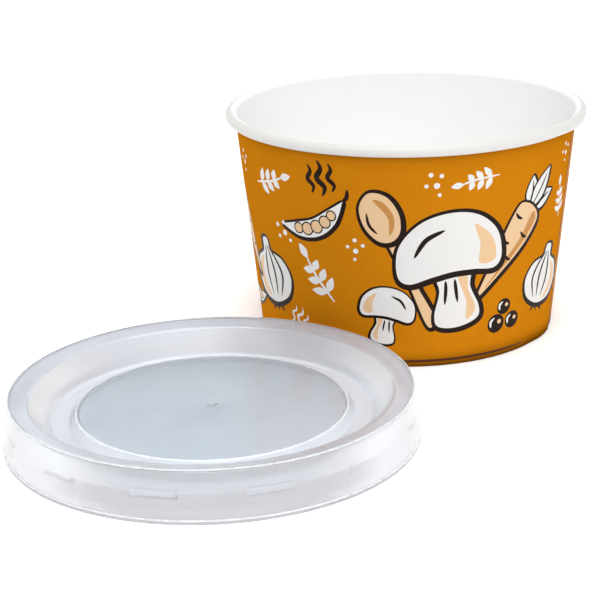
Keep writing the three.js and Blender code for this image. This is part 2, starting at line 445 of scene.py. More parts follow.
class Inks(bpy.types.PropertyGroup):
    amber: bpy.props.FloatVectorProperty(
        name="Amber", description="Ground colour of the print", default=linear("#C67B10"), **COLOUR)
    black: bpy.props.FloatVectorProperty(
        name="Black", description="Outlines of the print", default=linear("#20130C"), **COLOUR)
    cream: bpy.props.FloatVectorProperty(
        name="Cream", description="Light fill of the print", default=linear("#E2BE94"), **COLOUR)
    tan: bpy.props.FloatVectorProperty(
        name="Tan", description="Shade on the cream", default=linear("#C08748"), **COLOUR)
    brown: bpy.props.FloatVectorProperty(
        name="Brown", description="Ground line at the foot", default=linear("#5E2C04"), **COLOUR)
    white: bpy.props.FloatVectorProperty(
        name="White", description="Board left white by the print", default=linear("#E3E2E0"), **COLOUR)
    board: bpy.props.FloatVectorProperty(
        name="Board", description="White coated board inside", default=linear("#F8F8F7"), **COLOUR)
    # Painted shade: the rim colour is darker than the board, and paints the shade on the roll's outer side
    rim: bpy.props.FloatVectorProperty(
        name="Rim", description="White board stretched over the roll", default=linear("#D9D8D5"), **COLOUR)
    edge: bpy.props.FloatVectorProperty(
        name="Cut edge", description="Cut edge of the board", default=linear("#E6DCCB"), **COLOUR)
    # The seam colour is a thin reddish-brown line along the seam's edge, and the next one a paler, greyer tan
    # band on the amber beside the seam's step
    seam: bpy.props.FloatVectorProperty(
        name="Seam", description="Cracked ink at the seam's edge", default=linear("#8E4718"), **COLOUR)
    pale_band: bpy.props.FloatVectorProperty(
        name="Thin ink", description="Ink running out beyond the seam's edge",
        default=linear("#C48B4E"), **COLOUR)
    # Painted light and shade: the lid's tints below stand for how light falls on one plastic, and its edge
    # tint is a painted highlight. The last one only tints the light that falls through the lid
    lid_flat: bpy.props.FloatVectorProperty(
        name="Lid flats", description="Tint of the lid's flats", default=linear("#CDD4DA"), **COLOUR)
    lid_wall: bpy.props.FloatVectorProperty(
        name="Lid walls", description="Tint of the lid's walls", default=linear("#E3E5E9"), **COLOUR)
    lid_ring: bpy.props.FloatVectorProperty(
        name="Lid ring", description="Tint of the lid's top ring", default=linear("#EAEEF4"), **COLOUR)
    lid_skirt: bpy.props.FloatVectorProperty(
        name="Lid skirt", description="Tint of the lid's skirt", default=linear("#CCCBCE"), **COLOUR)
    lid_painted_slant_tint: bpy.props.FloatVectorProperty(
        name="Lid slant", description="Tint of the walls where they are seen at a slant",
        default=linear("#FFFFFF"), **COLOUR)
    # Painted highlight: the white tint of the lid's rounded edges
    lid_edge_highlight: bpy.props.FloatVectorProperty(
        name="Lid edges", description="Tint of the lid's edges", default=linear("#F1F3F6"), **COLOUR)
    lid_shadow: bpy.props.FloatVectorProperty(
        name="Lid shadow", description="Tint of the light that falls through the lid",
        default=linear("#D4D6DA"), **COLOUR)


class StudioSettings(bpy.types.PropertyGroup):
    distance: bpy.props.FloatProperty(
        name="Distance", description="From the cup's axis to the camera", default=0.55, unit="LENGTH")
    height: bpy.props.FloatProperty(
        name="Height", description="Height of the camera", default=0.19632, unit="LENGTH")
    yaw: bpy.props.FloatProperty(
        name="Yaw", description="Camera turned right of +Y", default=-0.0641, unit="ROTATION")
    pitch: bpy.props.FloatProperty(
        name="Pitch", description="Camera tilted down", default=0.3332, unit="ROTATION")
    roll: bpy.props.FloatProperty(
        name="Roll", description="Camera rolled", default=-0.0266, unit="ROTATION")
    focal_px: bpy.props.FloatProperty(
        name="Focal length", description="In pixels of the 600 pixel frame", default=1748.3, subtype="PIXEL")
    floor: bpy.props.FloatVectorProperty(
        name="Floor", description="Colour of the table", default=linear("#FFFFFF"), **COLOUR)
    glow: bpy.props.FloatProperty(name="Table glow", description="Light of the table itself", default=0.24)
    horizon: bpy.props.FloatProperty(
        name="Horizon", description="Strength of the backdrop near the table", default=0.95)
    sky: bpy.props.FloatProperty(
        name="Surround", description="Strength of the pale surround above", default=0.4)
    room: bpy.props.FloatProperty(
        name="Room", description="Share of the surround's light behind the camera",
        default=0.42, subtype="FACTOR", min=0.0, max=1.0)
    top: bpy.props.FloatProperty(
        name="Top light", description="Power of the overhead box", default=11.0, unit="POWER")
    front: bpy.props.FloatProperty(
        name="Front light", description="Power of the box at the front right", default=6.1, unit="POWER")
    side: bpy.props.FloatProperty(
        name="Side light", description="Power of the box at the left", default=0.7, unit="POWER")


# Materials

# The board: its cloudiness and fibres, how far the painted shade in crevices reaches, how open a place is
# from dark to light, the painted shade left in crevices, and where the roll's painted shade gives way to
# white, in from the rim's edge
CLOUD_MM = 9.0
FIBRE_MM = 0.7
CREVICE_REACH = 6 * MM
CREVICE_OPEN = (0.4, 0.95)
PAINTED_CREVICE_SHADE = 0.2
ROLL_WHITE = (2.6 * MM, 1.2 * MM)

# The lid: waves of the moulding, grain of the drawn walls, then how clear and how hazy it is
WAVE_MM = 14.0
GRAIN_MM = 1.1
CLEARNESS = (0.7, 0.85)
HAZE = (0.2, 0.28)
EDGE_HAZE = (0.2, 0.35)
EDGE_CLEARNESS = 0.25
POLYPROPYLENE_IOR = 1.49

# Over what spans the lid's tint, which paints light and shade, changes: how level or slanting a face is,
# then heights above the table and the distance from the lid's axis
LID_BANDS = {
    "level": (0.7, 0.97),
    "slant": (0.14, 0.44),
    "flats": (6.3 * MM, 7.3 * MM),
    "ring": (9.0 * MM, 12.5 * MM),
    "upper_wall": (7.4 * MM, 9.4 * MM),
    "over_lip": (1.1 * MM, 1.7 * MM),
    "outside": (56.2 * MM, 56.8 * MM),
}


def node(tree, kind, inputs=None, **settings):
    """Adds a node, with its settings, and its inputs as values or links."""
    made = tree.nodes.new(kind)
    for name, value in settings.items():
        setattr(made, name, value)
    for key, value in (inputs or {}).items():
        if isinstance(value, bpy.types.NodeSocket):
            tree.links.new(value, made.inputs[key])
        else:
            made.inputs[key].default_value = value
    return made


def scaled(colour, factor):
    return (*[min(1.0, c * factor) for c in colour[:3]], 1.0)


def fresh_material(name):
    material = bpy.data.materials.new(name)
    material.use_nodes = True
    material.node_tree.nodes.clear()
    return material, material.node_tree


def grains(size_mm):
    """The scale of a noise whose grains are about size_mm across."""
    return 1 / (size_mm * MM)


def radius_from(tree, place, centre):
    """Distance from an upright axis."""
    across = node(tree, "ShaderNodeVectorMath", {
        0: place, 1: (centre.x, centre.y, 0)}, operation="SUBTRACT").outputs["Vector"]
    level = node(tree, "ShaderNodeVectorMath", {
        0: across, 1: (1, 1, 0)}, operation="MULTIPLY").outputs["Vector"]
    return node(tree, "ShaderNodeVectorMath", {0: level}, operation="LENGTH").outputs["Value"]


def board_material(name, colour, roughness, mottle, specular, inner=None):
    """Cup board: bleached kraft fibres pressed flat, offset-printed and coated with polyethylene.
    The eye gets a flat matt colour with a faint cloudiness from the fibres, a soft wide sheen, and painted
    shade under the roll and at the foot, where ambient occlusion darkens the colour in creases."""
    material, tree = fresh_material(name)
    place = node(tree, "ShaderNodeTexCoord").outputs["Object"]
    cloud = node(tree, "ShaderNodeTexNoise", {"Vector": place, "Scale": grains(CLOUD_MM), "Detail": 3.0})
    fibre = node(tree, "ShaderNodeTexNoise", {"Vector": place, "Scale": grains(FIBRE_MM), "Detail": 4.0})
    both = node(tree, "ShaderNodeMix", {"Factor": 0.45, "A": cloud.outputs["Fac"], "B": fibre.outputs["Fac"]})
    shade = node(tree, "ShaderNodeValToRGB", {"Fac": both.outputs["Result"]})
    shade.color_ramp.elements[0].position = 0.3
    shade.color_ramp.elements[0].color = scaled(colour, 1 - mottle)
    shade.color_ramp.elements[1].position = 0.7
    shade.color_ramp.elements[1].color = scaled(colour, 1 + mottle)
    # Painted shade: ambient occlusion within a few millimetres darkens the colour in creases, under the roll
    # and at the foot, down to a fifth
    crevice = node(tree, "ShaderNodeAmbientOcclusion", {"Distance": CREVICE_REACH}, samples=8)
    depth = node(tree, "ShaderNodeMapRange", {
        "Value": crevice.outputs["AO"], "From Min": CREVICE_OPEN[0], "From Max": CREVICE_OPEN[1],
        "To Min": PAINTED_CREVICE_SHADE, "To Max": 1.0})
    with_painted_shade = node(tree, "ShaderNodeMix", {
        0: depth.outputs["Result"], 6: (0.0, 0.0, 0.0, 1.0), 7: shade.outputs["Color"]}, data_type="RGBA")
    base = with_painted_shade.outputs[2]
    # Painted shade on the roll: its outer side keeps the darker rim colour, which gives way to the inner
    # white further in from the rim's edge
    if inner is not None:
        painted_shade_share = node(tree, "ShaderNodeMapRange", {
            "Value": radius_from(tree, place, CUP_CENTRE), "From Min": rim_radius() - ROLL_WHITE[0],
            "From Max": rim_radius() - ROLL_WHITE[1]}, interpolation_type="SMOOTHSTEP")
        base = node(tree, "ShaderNodeMix", {
            0: painted_shade_share.outputs["Result"], 6: inner, 7: base}, data_type="RGBA").outputs[2]
    gloss = node(tree, "ShaderNodeMapRange", {
        "Value": fibre.outputs["Fac"], "To Min": roughness - 0.05, "To Max": roughness + 0.05})
    relief = node(tree, "ShaderNodeBump", {
        "Height": fibre.outputs["Fac"], "Distance": 0.02 * MM, "Strength": 0.35})
    shader = node(tree, "ShaderNodeBsdfPrincipled", {
        "Base Color": base, "Roughness": gloss.outputs["Result"],
        "Normal": relief.outputs["Normal"], "IOR": 1.5, "Specular IOR Level": specular})
    node(tree, "ShaderNodeOutputMaterial", {"Surface": shader.outputs["BSDF"]})
    return material


def polypropylene_material(name, inks):
    """Injection-moulded polypropylene, 0.8 mm thick: milky clear from its own crystals.
    It is clearer on the flats than on the walls, and its tint paints light and shade on one plastic: a
    darker bluish grey on the flats and the skirt, lighter ring and inner walls, whiter walls where they
    are seen slanting, and thin bright lines on the rounded edges from the gloss and the edge material's
    painted highlight."""
    material, tree = fresh_material(name)
    place = node(tree, "ShaderNodeTexCoord").outputs["Object"]
    wave = node(tree, "ShaderNodeTexNoise", {"Vector": place, "Scale": grains(WAVE_MM), "Detail": 2.0})
    grain = node(tree, "ShaderNodeTexNoise", {"Vector": place, "Scale": grains(GRAIN_MM), "Detail": 2.0})
    true_normal = node(tree, "ShaderNodeNewGeometry").outputs["True Normal"]
    facing = node(tree, "ShaderNodeSeparateXYZ", {0: true_normal})
    upright = node(tree, "ShaderNodeMath", {0: facing.outputs["Z"]}, operation="ABSOLUTE").outputs["Value"]
    height = node(tree, "ShaderNodeSeparateXYZ", {0: place}).outputs["Z"]
    slanting = node(tree, "ShaderNodeLayerWeight", {"Blend": 0.5}).outputs["Facing"]
    measured = {
        "level": upright, "slant": slanting, "flats": height, "ring": height, "upper_wall": height,
        "over_lip": height, "outside": radius_from(tree, place, LID_CENTRE),
    }
    past = {}
    for band, value in measured.items():
        low, high = LID_BANDS[band]
        past[band] = node(tree, "ShaderNodeMapRange", {
            "Value": value, "From Min": low, "From Max": high},
            interpolation_type="SMOOTHSTEP").outputs["Result"]

    def tint_with_slant_light(tint, band):
        """A wall's tint with painted light, whiter where the wall is seen slanting."""
        painted_light_share = node(tree, "ShaderNodeMath", {
            0: past["slant"], 1: past[band]}, operation="MULTIPLY").outputs["Value"]
        return node(tree, "ShaderNodeMix", {0: painted_light_share, 6: tint, 7: inks.lid_painted_slant_tint}, data_type="RGBA").outputs[2]

    # Painted light and shade on one plastic: plateau and channel darker and bluish, ring and inner walls
    # lighter, skirt darker, walls whiter where seen slanting
    flatness = node(tree, "ShaderNodeMath", {
        0: past["level"], 1: past["flats"]}, operation="MULTIPLY").outputs["Value"]
    wall = node(tree, "ShaderNodeMix", {
        0: past["outside"], 6: tint_with_slant_light(inks.lid_wall, "upper_wall"),
        7: tint_with_slant_light(inks.lid_skirt, "over_lip")}, data_type="RGBA").outputs[2]
    flat = node(tree, "ShaderNodeMix", {
        0: past["ring"], 6: inks.lid_flat, 7: inks.lid_ring}, data_type="RGBA").outputs[2]
    colour = node(tree, "ShaderNodeMix", {0: flatness, 6: wall, 7: flat}, data_type="RGBA").outputs[2]
    clear = node(tree, "ShaderNodeMapRange", {
        "Value": flatness, "To Min": CLEARNESS[0], "To Max": CLEARNESS[1]}).outputs["Result"]
    haze = node(tree, "ShaderNodeMapRange", {
        "Value": wave.outputs["Fac"], "To Min": HAZE[0], "To Max": HAZE[1]}).outputs["Result"]
    relief = node(tree, "ShaderNodeBump", {
        "Height": wave.outputs["Fac"], "Distance": 0.35 * MM, "Strength": 0.25}).outputs["Normal"]
    fine = node(tree, "ShaderNodeBump", {
        "Height": grain.outputs["Fac"], "Distance": 0.01 * MM, "Strength": 0.3,
        "Normal": relief}).outputs["Normal"]
    shader = node(tree, "ShaderNodeBsdfPrincipled", {
        "Base Color": colour, "Roughness": haze, "IOR": POLYPROPYLENE_IOR,
        "Transmission Weight": clear, "Normal": fine})
    lit_through = node(tree, "ShaderNodeBsdfTransparent", {"Color": inks.lid_shadow})
    shadow = node(tree, "ShaderNodeLightPath").outputs["Is Shadow Ray"]
    both = node(tree, "ShaderNodeMixShader", {
        0: shadow, 1: shader.outputs["BSDF"], 2: lit_through.outputs["BSDF"]})
    node(tree, "ShaderNodeOutputMaterial", {"Surface": both.outputs["Shader"]})
    return material


def edge_highlight_material(name, colour):
    """The lid's rounded edges, tinted white as a painted highlight: the thin white line of light that comes
    out of the wall at its corners."""
    material, tree = fresh_material(name)
    place = node(tree, "ShaderNodeTexCoord").outputs["Object"]
    wave = node(tree, "ShaderNodeTexNoise", {"Vector": place, "Scale": grains(6.0), "Detail": 2.0})
    haze = node(tree, "ShaderNodeMapRange", {
        "Value": wave.outputs["Fac"], "To Min": EDGE_HAZE[0], "To Max": EDGE_HAZE[1]}).outputs["Result"]
    shader = node(tree, "ShaderNodeBsdfPrincipled", {
        "Base Color": colour, "Roughness": haze, "IOR": POLYPROPYLENE_IOR,
        "Transmission Weight": EDGE_CLEARNESS})
    node(tree, "ShaderNodeOutputMaterial", {"Surface": shader.outputs["BSDF"]})
    return material


def table_material(name, colour, glow):
    """Light table: matt white acrylic, lit a little from below, which leaves hardly any shadow."""
    material, tree = fresh_material(name)
    place = node(tree, "ShaderNodeTexCoord").outputs["Object"]
    grain = node(tree, "ShaderNodeTexNoise", {"Vector": place, "Scale": grains(2.0), "Detail": 2.0})
    relief = node(tree, "ShaderNodeBump", {
        "Height": grain.outputs["Fac"], "Distance": 0.01 * MM, "Strength": 0.1}).outputs["Normal"]
    shader = node(tree, "ShaderNodeBsdfPrincipled", {
        "Base Color": colour, "Roughness": 0.9, "Normal": relief,
        "Specular IOR Level": 0.1, "Emission Color": colour, "Emission Strength": glow})
    node(tree, "ShaderNodeOutputMaterial", {"Surface": shader.outputs["BSDF"]})
    return material


def board_set(inks):
    """The cup's materials, in the order of the ink numbers."""
    return [
        board_material("print_amber", inks.amber, 0.5, 0.035, 0.0),
        board_material("print_white", inks.white, 0.42, 0.01, 0.2),
        board_material("print_black", inks.black, 0.42, 0.05, 0.1),
        board_material("print_cream", inks.cream, 0.42, 0.02, 0.2),
        board_material("print_tan", inks.tan, 0.42, 0.03, 0.2),
        board_material("print_brown", inks.brown, 0.42, 0.05, 0.2),
        board_material("coated_white_board", inks.board, 0.38, 0.01, 0.4),
        board_material("cut_board_edge", inks.edge, 0.8, 0.08, 0.1),
        board_material("rolled_board_painted_shade", inks.rim, 0.38, 0.01, 0.4, inks.board),
        board_material("dark_seam_line", inks.seam, 0.7, 0.15, 0.1),
        board_material("pale_ink_band_by_seam", inks.pale_band, 0.5, 0.08, 0.05),
    ]


# Meshes

class Mould:
    """Collects points and faces, each face with a material number, and makes one closed mesh."""

    def __init__(self):
        self.points = []
        self.faces = []
        self.inks = []

    def add(self, points, faces, inks):
        first = len(self.points)
        self.points.extend(tuple(p) for p in points)
        self.faces.extend(tuple(first + k for k in face) for face in faces)
        self.inks.extend(inks)

    def turn(self, profile, columns, centre, ink_of, reach=None):
        """Turns a profile of (radius, height) about the vertical through centre. The columns are
        rising angles in degrees and close on themselves; ink_of gives a face's material from its
        place in the profile and its angle."""
        turns = np.radians(columns)
        radius = np.array([p[0] for p in profile])[None, :].repeat(len(columns), axis=0)
        height = np.array([p[1] for p in profile])[None, :].repeat(len(columns), axis=0)
        if reach is not None:
            radius = radius + reach(columns)
        x = centre.x + radius * np.cos(turns)[:, None]
        y = centre.y + radius * np.sin(turns)[:, None]
        points = np.stack([x, y, height], axis=2).reshape(-1, 3)
        row = len(profile)
        faces = []
        inks = []
        for column in range(len(columns) - 1):
            middle = (columns[column] + columns[column + 1]) / 2
            for k in range(row - 1):
                a = column * row + k
                faces.append((a, a + row, a + row + 1, a + 1))
                inks.append(ink_of(k, middle))
        self.add(points, faces, inks)

    def piece(self, name, materials):
        """Welds what was collected and makes the object."""
        body = bmesh.new()
        corners = [body.verts.new(p) for p in self.points]
        for face, ink in zip(self.faces, self.inks):
            try:
                body.faces.new([corners[k] for k in face]).material_index = ink
            except ValueError:
                continue
        bmesh.ops.remove_doubles(body, verts=body.verts, dist=WELD)
        bmesh.ops.dissolve_degenerate(body, edges=body.edges, dist=WELD / 4)
        bmesh.ops.recalc_face_normals(body, faces=body.faces)
        open_edges = sum(1 for e in body.edges if len(e.link_faces) != 2)
        if open_edges:
            raise RuntimeError(f"{name} has {open_edges} open edges")
        mesh = bpy.data.meshes.new(name)
        body.to_mesh(mesh)
        body.free()
        mesh.polygons.foreach_set("use_smooth", [True] * len(mesh.polygons))
        mesh.set_sharp_from_angle(angle=SHARP_ANGLE)
        for material in materials:
            mesh.materials.append(material)
        made = bpy.data.objects.new(name, mesh)
        bpy.context.scene.collection.objects.link(made)
        return made


# Sidewall

# Degrees round the cup: between columns, across a step of the lap, the dark seam line and the pale band by
# the seam
SIDE_STEP = 1.0
STEP_WIDTH = 0.06
SEAM_LINE = 1.3
PALE_BAND_SPAN = 5.0
SAME_ANGLE = 1e-6
PRINT_ROWS = 20
GROUND_HALF_WIDTH = 0.45 * MM
CLEARANCE = 0.3 * MM


def rim_radius():
    return (CUP_HIGH.x - CUP_LOW.x) / 2


def wall_radius(cup, height):
    """Outer radius of the sidewall at a height."""
    top = rim_radius() - 2 * cup.roll + cup.paper
    return cup.foot_radius + (top - cup.foot_radius) * height / (CUP_HIGH.z - cup.roll)


def columns_behind(cup):
    """Angles counted back from the seam's edge, with close pairs at the two steps of the lap."""
    even = np.arange(0, 360 + SIDE_STEP / 2, SIDE_STEP)
    lap = math.degrees(cup.lap)
    steps = [STEP_WIDTH, SEAM_LINE, lap - STEP_WIDTH, lap, 360 - PALE_BAND_SPAN]
    return np.unique(np.concatenate([even, steps]))


def lap_reach(cup, behind, start):
    """How far the paper stands out at an angle behind the seam's edge."""
    fade = 1 - smoothstep((behind - math.degrees(cup.lap)) / math.degrees(cup.lap_fade))
    return np.where(behind >= start - SAME_ANGLE, cup.paper * fade, 0.0)


def inside_polygon(points, curve):
    """Which points lie inside a closed curve, by its winding number."""
    x, y = points[:, 0][:, None], points[:, 1][:, None]
    ax, ay = curve[:, 0][None, :], curve[:, 1][None, :]
    bx, by = np.roll(curve[:, 0], -1)[None, :], np.roll(curve[:, 1], -1)[None, :]
    side = (bx - ax) * (y - ay) - (x - ax) * (by - ay)
    up = (ay <= y) & (by > y) & (side > 0)
    down = (ay > y) & (by <= y) & (side < 0)
    return (up.sum(axis=1) - down.sum(axis=1)) != 0


def print_layers(cup):
    """All the print's shapes as (ink, curve), each point as (angle behind the seam, height)."""
    layers = []
    for repeat in range(REPEATS):
        start = repeat * REPEAT_ANGLE
        low, high = GROUND_SPAN
        line = [(start + angle, GROUND_HEIGHT_MM * MM) for angle in np.linspace(low, high, 60)]
        along = np.linspace(-1, 1, len(line))
        half = GROUND_HALF_WIDTH * (1 - 0.8 * np.abs(along) ** 4)
        upper = [(a, h + w) for (a, h), w in zip(line, half)]
        lower = [(a, h - w) for (a, h), w in zip(line, half)]
        layers.append((BROWN, np.array(upper + lower[::-1])))
        for motif, angle, height, turn, size, flip in REPEAT:
            for ink, curve in moved(motif(), 0, 0, turn, size, flip):
                z = (height + curve[:, 1]) * MM
                around = np.degrees(curve[:, 0] * MM / wall_radius(cup, z))
                place = start + angle - around
                if place.min() < PRINT_MARGIN or place.max() > 360 - PRINT_MARGIN:
                    raise ValueError(f"{motif.__name__} at {start + angle} degrees crosses the seam")
                layers.append((ink, np.stack([place, z], axis=1)))
    return layers


def printed_field(cup, low, high):
    """The wall's printed face, cut along every shape of the print: points, faces and inks."""
    behind = columns_behind(cup)
    rows = np.linspace(low, high, PRINT_ROWS + 1)
    near = math.radians(1) * wall_radius(cup, (low + high) / 2)
    grid = [(b * near, z) for b in behind for z in rows]
    count = len(rows)
    last = len(behind) - 1
    edges = []
    for k in range(last):
        edges += [(k * count, (k + 1) * count), (k * count + count - 1, (k + 2) * count - 1)]
    for j in range(count - 1):
        edges += [(j, j + 1), (last * count + j, last * count + j + 1)]
    layers = [(ink, curve * np.array((near, 1.0))) for ink, curve in print_layers(cup)]
    points = list(grid)
    for _, curve in layers:
        first = len(points)
        points += [tuple(p) for p in curve]
        edges += [(first + k, first + (k + 1) % len(curve)) for k in range(len(curve))]
    sheet, _, faces, _, _, _ = delaunay_2d_cdt([Vector(p) for p in points], edges, [], 0, 1e-7)
    flat = np.array([tuple(p) for p in sheet])
    middle = np.array([flat[list(face)].mean(axis=0) for face in faces])
    inks = np.full(len(faces), AMBER)
    for ink, curve in layers:
        lo, hi = curve.min(axis=0), curve.max(axis=0)
        close = np.nonzero(np.all((middle >= lo) & (middle <= hi), axis=1))[0]
        inks[close[inside_polygon(middle[close], curve)]] = ink
    # A paler tan band beside the seam's step, then the cut edge and a dark reddish-brown line along the
    # seam's edge
    inks[(middle[:, 0] > (360 - PALE_BAND_SPAN) * near) & (inks == AMBER)] = PALE_SEAM_BAND
    inks[middle[:, 0] < STEP_WIDTH * near] = EDGE
    inks[(middle[:, 0] >= STEP_WIDTH * near) & (middle[:, 0] < SEAM_LINE * near)] = SEAM
    angle = flat[:, 0] / near
    radius = wall_radius(cup, flat[:, 1]) + lap_reach(cup, angle, STEP_WIDTH)
    turn = cup.seam - np.radians(angle)
    x = CUP_CENTRE.x + radius * np.cos(turn)
    y = CUP_CENTRE.y + radius * np.sin(turn)
    return np.stack([x, y, flat[:, 1]], axis=1), faces, inks.tolist()


def rest_of_sidewall(cup):
    """The profile from the print's top over the roll, down the inside and round the foot, with
    the places of its first inside, fold and toe points."""
    paper = cup.paper
    centre = (rim_radius() - cup.roll, CUP_HIGH.z - cup.roll)
    slope = (wall_radius(cup, centre[1]) - cup.foot_radius) / centre[1]
    slot_outer = cup.foot_radius - cup.disc_paper - paper - 2 * CLEARANCE
    slot_inner = slot_outer - paper
    outside = [(wall_radius(cup, cup.print_top), cup.print_top), (wall_radius(cup, centre[1]), centre[1])]
    roll_end = math.degrees(cup.roll_end)
    under = arc(centre, cup.roll - paper, 180, roll_end, 26)[1:]
    over = arc(centre, cup.roll, roll_end, 180, 40)
    inside = [(wall_radius(cup, h) - paper, h) for h in np.linspace(centre[1], paper, 24)[1:]]
    fold = [
        (slot_outer + slope * paper, paper),
        (slot_outer + slope * cup.fold_top, cup.fold_top),
        (slot_inner + slope * cup.fold_top, cup.fold_top),
        (slot_inner + slope * cup.foot_round, cup.foot_round),
    ]
    heel = arc((slot_inner + cup.foot_round, cup.foot_round), cup.foot_round, 180, 270, 5)[1:]
    toe = arc((cup.foot_radius - cup.foot_round, cup.foot_round), cup.foot_round, 270, 360, 5)
    toe[-1] = (wall_radius(cup, cup.foot_round), cup.foot_round)
    profile = [*outside, *under, *over, *inside, *fold, *heel, *toe]
    first_inside = len(outside) + len(under) + len(over) - 1
    first_fold = first_inside + len(inside) + 1
    first_toe = first_fold + len(fold) + len(heel)
    return profile, first_inside, first_fold, first_toe


def build_sidewall(cup, inks):
    mould = Mould()
    points, faces, colours = printed_field(cup, cup.foot_round, cup.print_top)
    mould.add(points, faces, colours)
    profile, first_inside, first_fold, first_toe = rest_of_sidewall(cup)
    behind = columns_behind(cup)[::-1]
    seam = math.degrees(cup.seam)
    lap = math.degrees(cup.lap)

    def reach(columns):
        around = seam - columns
        outer = lap_reach(cup, around, STEP_WIDTH)
        inner = lap_reach(cup, around, lap)
        moves = np.repeat(outer[:, None], len(profile), axis=1)
        moves[:, first_inside:first_fold] = inner[:, None]
        moves[:, first_fold:first_toe] = 0.0
        return moves

    def ink_of(place, angle):
        around = seam - angle
        if first_inside <= place < first_fold:
            return EDGE if lap - STEP_WIDTH < around < lap else COATED
        if place < first_inside:
            return ROLL_PAINTED_SHADE
        if place == first_fold:
            return COATED
        return EDGE if place == first_fold + 1 else AMBER

    mould.turn(profile, seam - behind, CUP_CENTRE, ink_of, reach)
    return mould.piece("cup_wall_printed", board_set(inks))


# Bottom disc and lid

BOTTOM_STEP = 1.5
DISC_TOUCH = 0.02 * MM
LID_COLUMNS = 480
LUG_ROWS = 16
LUG_GAP = 0.4 * MM
LUG_SOFT = 0.25 * MM
LUG_END = 0.4
CLEAR, EDGE_HIGHLIGHT = range(2)
EDGE_REACH = 0.36 * MM
NUB_HEIGHT = 0.18 * MM


def build_bottom(cup, inks):
    """The raised bottom, pressed into the sidewall, with its flange turned down."""
    top = DISC_HIGH.z
    under = top - cup.disc_paper
    low = DISC_LOW.z

    def outer(height):
        return wall_radius(cup, height) - cup.paper - DISC_TOUCH

    def inner(height):
        return wall_radius(cup, height) - cup.paper - CLEARANCE - cup.disc_paper

    corners = [
        (0, under, 0),
        (inner(under), under, 0.5 * MM),
        (inner(low), low, 0.1 * MM),
        (outer(low), low, 0.1 * MM),
        (outer(top), top, 0.25 * MM),
        (outer(top) - 1.6 * MM, top, 0.4 * MM),
        (outer(top) - 2.4 * MM, top - 0.12 * MM, 0.4 * MM),
        (0, top - 0.12 * MM, 0),
    ]
    mould = Mould()
    columns = np.arange(0, 361, BOTTOM_STEP)
    mould.turn(rounded(corners), columns, CUP_CENTRE, lambda place, angle: 0)
    board = board_material("coated_bottom_board", inks.board, 0.38, 0.012, 0.2)
    return mould.piece("cup_bottom_disc", [board])


def inside_of_collar(lid, height):
    """Radius of the lid's inner side, from the flare up to the ring."""
    heights = [lid.flare - 0.2 * MM, lid.shoulder - 0.2 * MM, LID_HIGH.z - lid.wall]
    radii = [lid.skirt - lid.wall, lid.collar - lid.wall, lid.ring_outer - lid.wall / 2]
    return np.interp(height, heights, radii)


def lid_profile(lid):
    """The lid's closed section and, for each of its points, how far a lug stands inwards there."""
    wall = lid.wall
    lip = (LID_HIGH.x - LID_LOW.x) / 2
    top = LID_HIGH.z
    soft = 0.5 * MM
    floor = lid.channel_floor
    inside = lid.skirt - wall
    lug_top = lid.lug_bottom + lid.lug_thickness
    heights = np.linspace(lug_top, lid.lug_bottom, LUG_ROWS + 1)
    lug = [(inside_of_collar(lid, h), h, 0) for h in heights]
    under = [
        (0, lid.plateau_height - wall, 0),
        (lid.plateau - wall, lid.plateau_height - wall, soft),
        (lid.channel_inner - wall, floor - wall, soft),
        (lid.channel_outer + wall / 2, floor - wall, 2 * soft),
        (lid.ring_inner + wall, top - lid.ring_drop - wall, soft),
        (lid.ring_outer - wall / 2, top - wall - 0.1 * MM, soft),
        (inside_of_collar(lid, lug_top + LUG_GAP), lug_top + LUG_GAP, 0),
    ]
    below = [
        (inside_of_collar(lid, lid.lug_bottom - LUG_GAP), lid.lug_bottom - LUG_GAP, 0),
        (inside, lid.flare - 0.2 * MM, soft),
        (inside, 0, 0.2 * MM),
        (lip, 0, 0.2 * MM),
        (lip, lid.lip_height, 0.3 * MM),
        (lid.skirt, lid.lip_height + 0.1 * MM, 0.15 * MM),
        (lid.skirt, lid.flare, 1.2 * MM),
        (lid.collar, lid.shoulder, 0.3 * MM),
        (lid.ring_outer + 0.3 * MM, top, 0.6 * MM),
        (lid.ring_inner, top - lid.ring_drop, 0.6 * MM),
        (lid.channel_outer, floor, 1.2 * MM),
        (lid.channel_inner, floor, 0.8 * MM),
        (lid.plateau, lid.plateau_height, 0.5 * MM),
        (lid.plateau - 3 * MM, lid.plateau_height - 0.05 * MM, 0.5 * MM),
        (lid.nub, lid.plateau_height - 0.05 * MM, 0.2 * MM),
        (lid.nub - 0.4 * MM, lid.plateau_height + NUB_HEIGHT, 0.2 * MM),
        (0, lid.plateau_height + NUB_HEIGHT, 0),
    ]
    start = rounded(under)
    end = rounded([lug[-1], *below])[1:]
    profile = [*start, *[p[:2] for p in lug], *end]
    from_end = np.minimum(lug_top - heights, heights - lid.lug_bottom)
    soft_ends = smoothstep(from_end / LUG_SOFT)
    depth = np.zeros(len(profile))
    depth[len(start):len(start) + len(lug)] = (np.array([p[0] for p in lug]) - lid.lug_radius) * soft_ends
    return profile, depth


